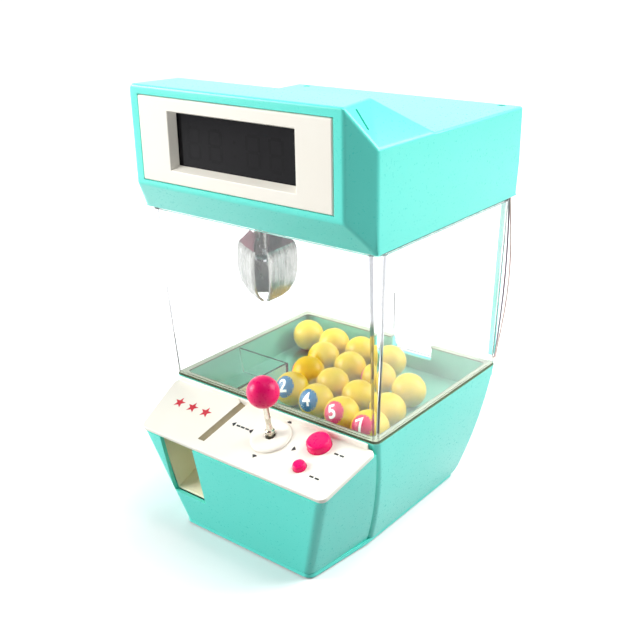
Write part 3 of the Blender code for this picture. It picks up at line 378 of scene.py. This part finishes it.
# painted shadow on the rear body's rim, under the clear case's bottom edge
JOINT_PAINTED_SHADOW = finish_material("joint_painted_shadow", (0.10, 0.19, 0.11), 0.5, (0.13, 0.20, 0.10))


# ---------------------------------------------------------------- modelling tools


def new_object(name, mesh, *materials):
    for material in materials:
        mesh.materials.append(material)
    obj = bpy.data.objects.new(name, mesh)
    bpy.context.scene.collection.objects.link(obj)
    return obj


def smooth(obj, angle):
    """Shades an object smooth, apart from edges sharper than the angle in degrees."""
    obj.data.shade_smooth()
    obj.data.set_sharp_from_angle(angle=math.radians(angle))
    return obj


def add_bevel(obj, width, segments, angle):
    """Rounds the edges sharper than the angle in degrees, by a width in millimetres."""
    modifier = obj.modifiers.new("Bevel", "BEVEL")
    modifier.width, modifier.segments = width * MM, segments
    modifier.limit_method, modifier.angle_limit = "ANGLE", math.radians(angle)
    modifier.harden_normals = False


def place(obj, body, slot_name, *nodes):
    """Puts a piece on its body, in place of the CAD nodes named."""
    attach(obj, body)
    if nodes:
        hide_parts(*nodes)
    return obj


def slot_of(node):
    """The material slot that the record gives a node."""
    for entry in frame["record"]["subparts"]:
        if entry["node"] == node:
            return entry["material_slot"]


def refine(node, material, width=0.25, segments=3, angle=32.0, shade=38.0):
    """A copy of a CAD node's mesh with its points joined, its flat faces merged and its edges rounded."""
    mesh = NODES[node].data.copy()
    mesh.materials.clear()
    for name in ("custom_normal", "sharp_face", "sharp_edge"):
        if name in mesh.attributes:
            mesh.attributes.remove(mesh.attributes[name])
    shape = bmesh.new()
    shape.from_mesh(mesh)
    bmesh.ops.remove_doubles(shape, verts=shape.verts, dist=2e-6)
    bmesh.ops.dissolve_limit(shape, angle_limit=math.radians(0.8), verts=shape.verts, edges=shape.edges)
    shape.to_mesh(mesh)
    shape.free()
    obj = new_object("fine_" + node, mesh, material)
    smooth(obj, shade)
    if width:
        add_bevel(obj, width, segments, angle)
        normals = obj.modifiers.new("Normals", "WEIGHTED_NORMAL")
        normals.mode, normals.keep_sharp = "FACE_AREA", True
    return place(obj, BODY_OF[node], slot_of(node), node)


def frame_to(axis, side=None):
    """A rotation that takes +Z to axis, and +X as near to side as it can."""
    up = Vector(axis).normalized()
    side = Vector(side) if side else Vector((1, 0, 0))
    if abs(up.dot(side)) > 0.99:
        side = Vector((0, 1, 0))
    across = (side - up * side.dot(up)).normalized()
    return Matrix((across, up.cross(across), up)).transposed()


def circle(sides):
    """The angles of points spaced evenly round a circle."""
    return [2 * math.pi * i / sides for i in range(sides)]


def join_rings(shape, low, high, index=0):
    """Faces between two rings of points; a ring that is one point repeated gives triangles."""
    for i in range(len(low)):
        j = (i + 1) % len(low)
        face = shape.faces.new(tuple(dict.fromkeys((low[i], low[j], high[j], high[i]))))
        face.material_index = index


def finished(shape, name, *materials):
    """Turns a bmesh into an object and frees the bmesh."""
    mesh = bpy.data.meshes.new(name)
    shape.to_mesh(mesh)
    shape.free()
    return new_object(name, mesh, *materials)


def turned(name, profile, base, axis, *materials, sides=56, closed=False, bands=None):
    """A profile of (radius, height) in millimetres turned about an axis.

    A closed profile joins its end to its start, and bands gives a material to each of its steps.
    """
    spin, centre = frame_to(axis), Vector(base)
    shape = bmesh.new()
    rings = []
    for radius, height in profile:
        if radius == 0:
            rings.append([shape.verts.new(centre + spin @ Vector((0, 0, height * MM)))] * sides)
            continue
        ring = []
        for angle in circle(sides):
            arm = Vector((radius * math.cos(angle), radius * math.sin(angle), height)) * MM
            ring.append(shape.verts.new(centre + spin @ arm))
        rings.append(ring)
    loops = rings + rings[:1] if closed else rings
    for step, (low, high) in enumerate(zip(loops, loops[1:])):
        join_rings(shape, low, high, bands[step] if bands else 0)
    if not closed:
        for ring in (rings[0], rings[-1]):
            if len(set(ring)) > 1:
                shape.faces.new(ring)
    bmesh.ops.recalc_face_normals(shape, faces=shape.faces)
    return smooth(finished(shape, name, *materials), 40.0)


def middle(node):
    """The centre of a CAD node's box."""
    low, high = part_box(node)
    return (low + high) / 2


# ---------------------------------------------------------------- shells, panel and case

PANEL_UP = -Vector(JOINTS["down_press"]["axis"])
PIVOT = Vector(JOINTS["joystick_tilt_x"]["pos_m"])
PANEL_ALONG = PANEL_UP.cross(Vector((1, 0, 0))).normalized()  # up the slope, to the back
PIVOT_X, PIVOT_S = 12.3, 21.9  # the joystick's place on the panel
RIM_Z = 0.0732  # what lies higher than this on the rear body is its rim, whose upward faces take a painted shadow
SCREW_X, SCREW_Y, SCREW_Z = 0.062, 0.070, 0.2116  # the floors of the two recesses in the head's roof


def on_panel(x, s, h=0.0):
    """A place on the control panel in millimetres: x across, s up the slope, h above its surface."""
    start = PIVOT - PANEL_ALONG * PIVOT_S * MM
    return Vector((x * MM, start.y, start.z)) + PANEL_ALONG * s * MM + PANEL_UP * h * MM


def paint_groove(panel):
    """The leaning side of the panel's groove gets a painted tan half-shade and its floor a painted dark brown
    shade.
    """
    mesh = panel.data
    mesh.materials.append(GROOVE_PAINTED_HALF_SHADE)
    mesh.materials.append(GROOVE_PAINTED_DEEP_SHADE)
    for face in mesh.polygons:
        spot = face.center - on_panel(0, 0)
        x, s, h = spot.x / MM, spot.dot(PANEL_ALONG) / MM, spot.dot(PANEL_UP) / MM
        in_groove = -25.0 < x < -12.0 and 4.0 < s < 36.0 and -2.2 < h < -0.05
        if in_groove:
            # the leaning side takes the painted half-shade, the rest of the groove the painted deep shade
            leaning = 0.2 < face.normal.dot(PANEL_UP) < 0.97
            face.material_index = 1 if leaning else 2


def box_on(shape, corner_low, corner_high, index):
    """Adds a small box to a bmesh, from one corner to the other in metres."""
    made = bmesh.ops.create_cube(shape, size=1.0)["verts"]
    centre, size = (corner_low + corner_high) / 2, corner_high - corner_low
    for vertex in made:
        vertex.co = Vector([centre[i] + vertex.co[i] * size[i] for i in range(3)])
    for face in {face for vertex in made for face in vertex.link_faces}:
        face.material_index = index


def make_display():
    """The display glass with a black edge, and the faint unlit segments of four clock digits and a colon."""
    refine("lcd_panel", DISPLAY_EDGE, 0.2, 2)
    low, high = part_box("lcd_panel")
    glass_lift, segment_lift = 0.02, 0.035
    shape = bmesh.new()

    def plate(x0, z0, x1, z1, lift, index):
        near, far = low.y - lift * MM, low.y + 0.05 * MM
        box_on(shape, Vector((x0 * MM, near, z0 * MM)), Vector((x1 * MM, far, z1 * MM)), index)

    left, right = low.x / MM + 1.1, high.x / MM - 0.9
    bottom, top = low.z / MM + 0.8, high.z / MM - 0.9
    plate(left, bottom, right, top, glass_lift, 0)
    tall, wide, bar = 15.6, 8.6, 1.5
    base = (bottom + top - tall) / 2
    for start in (-30.0, -16.6, 6.0, 19.4):
        for height in (base, base + (tall - bar) / 2, base + tall - bar):
            plate(start + bar, height, start + wide - bar, height + bar, segment_lift, 1)
        for x in (start, start + wide - bar):
            for height in (base + bar * 0.6, base + tall / 2 + bar * 0.3):
                plate(x, height, x + bar, height + tall / 2 - bar * 0.9, segment_lift, 1)
    dot = 1.5
    for height in (base + 4.0, base + tall - 5.4):
        plate(-1.2, height, -1.2 + dot, height + dot, segment_lift, 1)
    segments = finished(shape, "display_segments", DISPLAY, UNLIT_SEGMENT)
    place(segments, "machine", "display_glass")


def tint_case(case):
    """The case's front corner edges get a painted grey for the light they bend, and its foot a painted dark shadow
    band.
    """
    mesh = case.data
    for material in (CLEAR_PAINTED_REFRACTION, CASE_FOOT_PAINTED_SHADOW, CASE_SOLE):
        mesh.materials.append(material)
    low = min(vertex.co.z for vertex in mesh.vertices)
    # the top of the painted shadow band at the case's foot
    foot = low + 0.7 * MM
    shape = bmesh.new()
    shape.from_mesh(mesh)
    everything = shape.verts[:] + shape.edges[:] + shape.faces[:]
    bmesh.ops.bisect_plane(shape, geom=everything, plane_co=(0, 0, foot), plane_no=(0, 0, 1))
    for face in shape.faces:
        normal, centre = face.normal, face.calc_center_median()
        small, large = sorted((abs(normal.x), abs(normal.y)))
        turn = math.degrees(math.atan2(small, large))  # from the nearer of the X and Y axes
        if normal.z < -0.9 and centre.z < low + 0.3 * MM:
            face.material_index = 3
        # the lowest band of the walls takes the painted shadow
        elif centre.z < foot:
            face.material_index = 2
        # the front corner bevels take the painted grey of bent light
        elif abs(normal.z) < 0.5 and 6.0 < turn < 20.0 and centre.y < 0:
            face.material_index = 1
    shape.to_mesh(mesh)
    shape.free()


def make_shells():
    """The head, the base, the control panel and the clear case."""
    refine("head_shell", TURQUOISE, 0.3, 3, 30.0, 50.0)
    rear = refine("rear_body", TURQUOISE, 0.35, 3)
    rear.data.materials.append(JOINT_PAINTED_SHADOW)
    # the rim's upward faces take the painted shadow where the clear case stands on them
    for face in rear.data.polygons:
        if face.normal.z > 0.9 and face.center.z > RIM_Z:
            face.material_index = 1
    for node in ("control_housing", "wire_channel", "base_plate", "head_deck", "battery_door"):
        refine(node, TURQUOISE, 0.35, 3)
    refine("prize_tray", TRAY_GREEN, 0.3, 3)
    refine("lcd_bezel", CREAM, 0.3, 3, 30.0)
    paint_groove(refine("control_panel", CREAM, 0.3, 3, 30.0))
    refine("prize_chute", CHUTE_CREAM, 0.25, 2)
    make_display()
    tint_case(refine("clear_case", CLEAR, 0.15, 2))
    refine("rear_hatch", CLEAR_THIN, 0.2, 2)
    refine("chute_guard", CLEAR, 0.2, 2)
    profile = [(0, 0.0), (1.75, 0.0), (1.75, 0.45), (1.4, 0.62), (0.5, 0.62), (0.5, 0.25), (0, 0.25)]
    for name, x in (("roof_screw_left", -SCREW_X), ("roof_screw_right", SCREW_X)):
        screw = turned(name, profile, (x, SCREW_Y, SCREW_Z), (0, 0, 1), STEEL, sides=24)
        place(screw, "machine", "steel")


def add_mark(shape, points, x, s, turn, index):
    """A thin printed mark on the panel: points round (x, s) in millimetres, turned by degrees."""
    spin = Matrix.Rotation(math.radians(turn), 2)
    rings = []
    for height in (0.012, 0.05):
        ring = []
        for point in points:
            px, ps = spin @ Vector(point)
            ring.append(shape.verts.new(on_panel(x + px, s + ps, height)))
        rings.append(ring)
    for ring in (rings[1], rings[0][::-1]):
        face = shape.faces.new(ring)
        face.material_index = index
    join_rings(shape, rings[0], rings[1], index)


def make_prints():
    """Flat printed marks on the control panel: arrows round the joystick, plain bars and three stars."""
    black, red = 0, 1
    arrow = [(-1.5, -0.6), (-0.8, -0.85), (0.0, -0.95), (0.8, -0.85), (1.5, -0.6), (0.0, 1.2)]
    bar = [(-1.2, -0.5), (1.2, -0.5), (1.2, 0.5), (-1.2, 0.5)]
    star = []
    for i in range(10):
        reach = 3.6 if i % 2 == 0 else 1.5
        star.append((reach * math.sin(math.pi * i / 5), reach * math.cos(math.pi * i / 5)))
    shape = bmesh.new()
    arrows = ((15.2, 33.9, 0), (12.1, 8.5, 180), (28.1, 20.3, -90), (-0.1, 20.9, 90), (-11.8, 21.2, 90))
    for x, s, turn in arrows:
        add_mark(shape, arrow, x, s, turn, black)
    for x, s, count, step in ((-8.6, 21.1, 3, 2.9), (49.5, 26.0, 2, 3.2), (46.5, 9.8, 2, 3.2)):
        for i in range(count):
            add_mark(shape, bar, x + step * i, s, 0, black)
    for i in range(3):
        add_mark(shape, star, -51.0 + 9.5 * i, 21.5, 0, red)
    bmesh.ops.recalc_face_normals(shape, faces=shape.faces)
    place(finished(shape, "panel_prints", INK_BLACK, INK_RED), "machine", None)


# ---------------------------------------------------------------- controls

LEVER_AXIS = JOINTS["joystick_tilt_y"]["axis"]
LEVER_UP = Vector((0.0, -LEVER_AXIS[2], LEVER_AXIS[1]))  # at a right angle to the second tilt axis
KNOB_REACH, KNOB_RADIUS = 26.6, 8.0


def dome(radius, height, start, steps):
    """Points of a flattened round top, from the rim to the middle."""
    points = []
    for i in range(steps + 1):
        angle = math.radians(90.0 * i / steps)
        points.append((radius * math.cos(angle), start + height * math.sin(angle)))
    points[-1] = (0, start + height)
    return points


def make_joystick():
    """The disc with its collar, the gimbal, the lever with its rings, and the ball knob."""
    profile = [(2.75, 0.02), (2.7, 0.9), (2.9, 1.0), (4.4, 1.0), (8.2, 0.98), (9.7, 0.88), (10.25, 0.62)]
    profile += [(10.55, 0.3), (10.6, 0.0)]
    base = on_panel(PIVOT_X, PIVOT_S, 0.3)
    disc = turned("fine_joystick_disc", profile, base, PANEL_UP, CREAM, sides=72, closed=True)
    place(disc, "machine", "cream_plastic", "joystick_disc")
    refine("joystick_gimbal", NYLON, 0.15, 2)
    profile = [(0, -9.0), (1.0, -9.0), (1.2, -8.7), (1.2, -1.6), (1.5, -1.2), (1.5, 2.5), (2.2, 2.65)]
    profile += [(2.5, 2.9), (2.5, 3.25), (2.2, 3.4), (2.2, 3.7), (2.45, 3.85), (2.45, 4.2), (2.1, 4.45)]
    profile += [(1.62, 4.8), (1.55, 6.5), (1.35, 7.2), (1.35, 11.0), (1.5, 11.3), (1.5, 11.9)]
    profile += [(1.35, 12.2), (1.3, 19.2), (0, 19.2)]
    lever = turned("fine_joystick_lever", profile, PIVOT, LEVER_UP, NICKEL, sides=40)
    place(lever, "lever", "steel", "joystick_lever")
    profile = [(1.45, -6.7), (1.6, -7.2), (2.9, -7.35)]
    for degrees in range(24, 181, 4):
        angle = math.radians(degrees)
        seam = 0.05 if 88 <= degrees <= 92 else 0.0
        radius = KNOB_RADIUS - seam
        profile.append((radius * math.sin(angle), -radius * math.cos(angle)))
    profile[-1] = (0, KNOB_RADIUS)
    centre = PIVOT + LEVER_UP * KNOB_REACH * MM
    knob = turned("fine_joystick_knob", profile, centre, LEVER_UP, PINK, sides=72)
    place(knob, "lever", "pink_plastic", "joystick_knob")


def make_buttons():
    """The two round buttons, each with its stem."""
    for name, x, s, radius, height in (("down", 38.6, 27.3, 6.0, 4.2), ("mode", 37.7, 12.2, 3.2, 2.8)):
        profile = [(1.6, -9.8), (1.6, -4.6), (radius, -4.6), (radius, height - 1.5)]
        profile += [(radius * 0.985, height - 1.0), (radius * 0.93, height - 0.55)]
        profile += dome(radius * 0.86, 0.35, height - 0.35, 6)
        cap = turned(f"fine_{name}_button", profile, on_panel(x, s), PANEL_UP, PINK)
        place(cap, f"{name}_button", "pink_plastic", f"{name}_button")


# ---------------------------------------------------------------- claw


CLAW_REFLECTION_Z = 0.146  # the fingers' faces that look up from above this height take a painted reflection of the pink trolley


def make_claw():
    """The hub, the plunger and the three fingers."""
    refine("claw_hub", CHROME, 0.2, 3)
    refine("claw_plunger", STEEL, 0.2, 2)
    for index in range(3):
        finger = refine(f"claw_finger_{index + 1}", CHROME, 0.2, 2, 30.0, 44.0)
        finger.data.materials.append(CLAW_PAINTED_REFLECTION)
        # upward faces high on each finger take the painted pink reflection
        for face in finger.data.polygons:
            if face.normal.z > 0.3 and face.center.z > CLAW_REFLECTION_Z:
                face.material_index = 1


# ---------------------------------------------------------------- prizes


def digit_mesh(text, size):
    """The outline of a digit as a flat filled mesh in the XY plane, centred on the origin."""
    curve = bpy.data.curves.new("digit", "FONT")
    curve.body, curve.size = text, size
    curve.align_x, curve.align_y = "CENTER", "CENTER"
    curve.offset = size * 0.022
    holder = bpy.data.objects.new("digit_source", curve)
    bpy.context.scene.collection.objects.link(holder)
    bpy.context.view_layer.update()
    graph = bpy.context.evaluated_depsgraph_get()
    mesh = bpy.data.meshes.new_from_object(holder.evaluated_get(graph))
    bpy.data.objects.remove(holder, do_unlink=True)
    bpy.data.curves.remove(curve)
    return mesh


BALL_SIDES, BALL_STEPS = 40, 22
SEAM_SHARE = 0.988  # the ball's radius at its seam, as a share of its own
LABEL_SIDES, LABEL_STEPS, LABEL_ANGLE = 36, 5, 40
LABEL_SHARE, LABEL_RIM_SHARE, DIGIT_SHARE = 1.004, 0.999, 1.012  # where they lie, as shares of the radius


def add_halves(shape, radius):
    """Two moulded halves with a seam between them, as rings about the Y axis."""
    upright = Matrix.Rotation(math.radians(90), 3, "X")
    rings = []
    for i in range(BALL_STEPS + 1):
        angle = math.pi * i / BALL_STEPS
        height = radius * math.cos(angle)
        if i in (0, BALL_STEPS):
            pole = shape.verts.new(upright @ Vector((0, 0, height)))
            rings.append([pole] * BALL_SIDES)
            continue
        reach = radius * (SEAM_SHARE if i == BALL_STEPS // 2 else 1.0) * math.sin(angle)
        ring = []
        for turn in circle(BALL_SIDES):
            point = Vector((reach * math.cos(turn), reach * math.sin(turn), height))
            ring.append(shape.verts.new(upright @ point))
        rings.append(ring)
    for low_ring, high_ring in zip(rings, rings[1:]):
        join_rings(shape, low_ring, high_ring)


def add_label(shape, radius, index):
    """A round cap that follows the ball a little above its surface, with its rim let in."""
    last = [shape.verts.new(Vector((0, 0, radius * LABEL_SHARE)))] * LABEL_SIDES
    for step in range(1, LABEL_STEPS + 1):
        angle = math.radians(LABEL_ANGLE) * step / LABEL_STEPS
        lift = radius * (LABEL_SHARE if step < LABEL_STEPS else LABEL_RIM_SHARE)
        ring = []
        reach, height = math.sin(angle), math.cos(angle)
        for turn in circle(LABEL_SIDES):
            way = Vector((reach * math.cos(turn), reach * math.sin(turn), height))
            ring.append(shape.verts.new(way * lift))
        join_rings(shape, last, ring, index)
        last = ring


def add_digit(shape, radius, digit, index):
    """A digit laid over the label, cut finely enough to follow the ball."""
    source = digit_mesh(digit, radius * 1.05)
    glyph = bmesh.new()
    glyph.from_mesh(source)
    bmesh.ops.triangulate(glyph, faces=glyph.faces)
    bmesh.ops.subdivide_edges(glyph, edges=glyph.edges, cuts=3, use_grid_fill=True)
    copies = {}
    for vertex in glyph.verts:
        x, y = vertex.co.x, vertex.co.y
        way = Vector((x, y, math.sqrt(max(radius * radius - x * x - y * y, 0)))).normalized()
        copies[vertex] = shape.verts.new(way * radius * DIGIT_SHARE)
    for face in glyph.faces:
        made = shape.faces.new([copies[vertex] for vertex in face.verts])
        made.material_index = index
    glyph.free()
    bpy.data.meshes.remove(source)


def make_ball(node, digit, label, facing, roll):
    """A ball with its label and digit, turned so that the label faces one way."""
    low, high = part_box(node)
    centre, radius = (low + high) / 2, (high.z - low.z) / 2
    spin = frame_to(facing, (math.cos(roll), 0.3, math.sin(roll)))
    shape = bmesh.new()
    add_halves(shape, radius)
    add_label(shape, radius, label)
    add_digit(shape, radius, digit, 3)
    for vertex in shape.verts:
        vertex.co = centre + spin @ vertex.co
    ball = finished(shape, "fine_" + node, YELLOW, LABEL_BLUE, LABEL_PINK, LABEL_WHITE)
    place(smooth(ball, 60.0), "machine", "yellow_plastic", node)


def make_prizes():
    """The prize balls: the front row's labels face the camera, and the others face away from it."""
    blue, pink = 1, 2
    # digit, label colour, the way the label faces, and the digit's roll in degrees
    front = {
        1: ("2", blue, (0.00, -0.87, 0.49), 12),
        2: ("4", blue, (-0.02, -0.91, 0.42), 10),
        3: ("5", pink, (-0.04, -0.87, 0.48), 24),
        4: ("7", pink, (0.01, -0.86, 0.50), 30),
    }
    for node in sorted(node for node in NODES if node.startswith("prize_ball_")):
        number = int(node[-2:])
        if number in front:
            digit, label, facing, roll = front[number]
        else:
            digit, label = "836195204"[number % 9], (blue, pink)[number % 2]
            turn = math.radians(118 + 37 * (number % 3))
            facing = (math.cos(turn), math.sin(turn), -0.15 + 0.2 * (number % 2))
            roll = 20 * (number % 5)
        make_ball(node, digit, label, facing, math.radians(roll))


# ---------------------------------------------------------------- gantry, wires and inner parts


def make_inner_parts():
    """The gantry, the motors, the boards, the speaker and the power switch."""
    for node in ("bridge", "winch_drum"):
        refine(node, NYLON, 0.25, 2)
    refine("trolley", PINK, 0.25, 2)
    for node in ("depth_rail_left", "depth_rail_right", "bridge_motor", "trolley_motor", "winch_motor"):
        refine(node, STEEL, 0.25, 2)
    for node in ("main_board", "control_board"):
        refine(node, SOLDER_MASK, 0.12, 2)
    for node in ("speaker", "power_switch"):
        refine(node, BLACK, 0.2, 2)


def make_cells():
    """Three AA cells, the middle one turned round, each with its sleeve, copper band and button."""
    profile = [(0, -25.0), (3.5, -25.0), (3.6, -24.7), (6.6, -24.7), (7.0, -24.4), (7.1, -24.0)]
    profile += [(7.1, 10.0), (7.1, 23.9), (7.0, 24.3), (6.6, 24.6), (2.7, 24.6), (2.7, 25.4)]
    profile += [(2.5, 25.6), (0, 25.6)]
    sleeve, copper, steel = 0, 1, 2
    bands = [steel] * 5 + [sleeve] + [copper] * 3 + [steel] * 4
    for number, way in ((1, 1), (2, -1), (3, 1)):
        node = f"battery_{number}"
        spot = middle(node)
        start, axis = (0, spot.y, spot.z), (way, 0, 0)
        cell = turned("fine_" + node, profile, start, axis, CELL, COPPER, STEEL, sides=48, bands=bands)
        place(cell, "machine", "battery_cell", node)


WIRE_RADIUS, WIRE_SIDES = 0.43, 10
WIRE_APART, STRAND_BOW = 0.36, 1.8  # half of what the strands lie apart, and how far the second bows out
WIRE_OFFSET_Y = 0.2
BOW_LOW, BOW_HIGH = 82.0, 165.0  # the heights between which the second strand bows
LOOM_LEAN, LOOM_BOW, LOOM_STEPS = 2.85, 1.8, 8  # the loom's own lean and bow to the right


def wire_route(top):
    """Points (x, z) about a millimetre apart, from the boss on the rear body up to the head."""
    path = [(62.2, 66.6), (62.2, 73.4), (65.5, 77.0), (65.6, 79.0)]
    foot_x, foot_z = path[-1]
    for step in range(1, LOOM_STEPS + 1):
        share = step / LOOM_STEPS
        x = foot_x + LOOM_LEAN * share + LOOM_BOW * math.sin(math.pi * share)
        path.append((x, foot_z + (top - foot_z) * share))
    route = []
    for (x0, z0), (x1, z1) in zip(path, path[1:]):
        count = max(2, int(z1 - z0))
        route += [(x0 + (x1 - x0) * i / count, z0 + (z1 - z0) * i / count) for i in range(count)]
    return route + path[-1:]


def make_wires():
    """Two strands that part between their ends, in place of the plain wire loom."""
    low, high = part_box("wire_loom")
    y = (low.y + high.y) / 2
    shape = bmesh.new()
    for strand, side in ((0, -1), (1, 1)):
        previous = None
        for x, z in wire_route(high.z / MM - 0.1):
            share = max(0.0, min(1.0, (z - BOW_LOW) / (BOW_HIGH - BOW_LOW)))
            out = WIRE_APART + (STRAND_BOW * math.sin(math.pi * share) if strand else 0.0)
            centre = Vector(((x + side * out) * MM, y - side * WIRE_OFFSET_Y * MM, z * MM))
            ring = []
            for angle in circle(WIRE_SIDES):
                arm = Vector((math.cos(angle), math.sin(angle), 0)) * WIRE_RADIUS * MM
                ring.append(shape.verts.new(centre + arm))
            if previous:
                join_rings(shape, previous, ring, strand)
            else:
                shape.faces.new(ring[::-1])
            previous = ring
        shape.faces.new(previous)
    loom = smooth(finished(shape, "fine_wire_loom", WIRE, WIRE_PALE), 60)
    place(loom, "machine", "wire_insulation", "wire_loom")


CORD_LEVELS, CORD_SIDES = 70, 16
CORD_RADIUS, CORD_LAY = 0.455, 0.04  # the cord's mean radius, and how far its strands stand out


def make_cord():
    """The hoist cord from the trolley down to the claw, as a twisted tube."""
    low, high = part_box("hoist_cord")
    spot = (low + high) / 2
    shape = bmesh.new()
    previous = None
    for i in range(CORD_LEVELS + 1):
        z = low.z + (high.z - low.z) * i / CORD_LEVELS
        ring = []
        for angle in circle(CORD_SIDES):
            reach = (CORD_RADIUS + CORD_LAY * math.cos(2 * angle + i * 0.9)) * MM
            point = (spot.x + reach * math.cos(angle), spot.y + reach * math.sin(angle), z)
            ring.append(shape.verts.new(point))
        if previous:
            join_rings(shape, previous, ring)
        else:
            shape.faces.new(ring[::-1])
        previous = ring
    shape.faces.new(previous)
    cord = smooth(finished(shape, "fine_hoist_cord", CORD), 60)
    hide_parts("hoist_cord")
    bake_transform(cord)


bpy.context.scene.view_settings.view_transform = "Standard"
make_camera()
make_world()
make_floor()
make_lights()
make_shells()
make_prints()
make_joystick()
make_buttons()
make_claw()
make_prizes()
make_inner_parts()
make_cells()
make_wires()
make_cord()
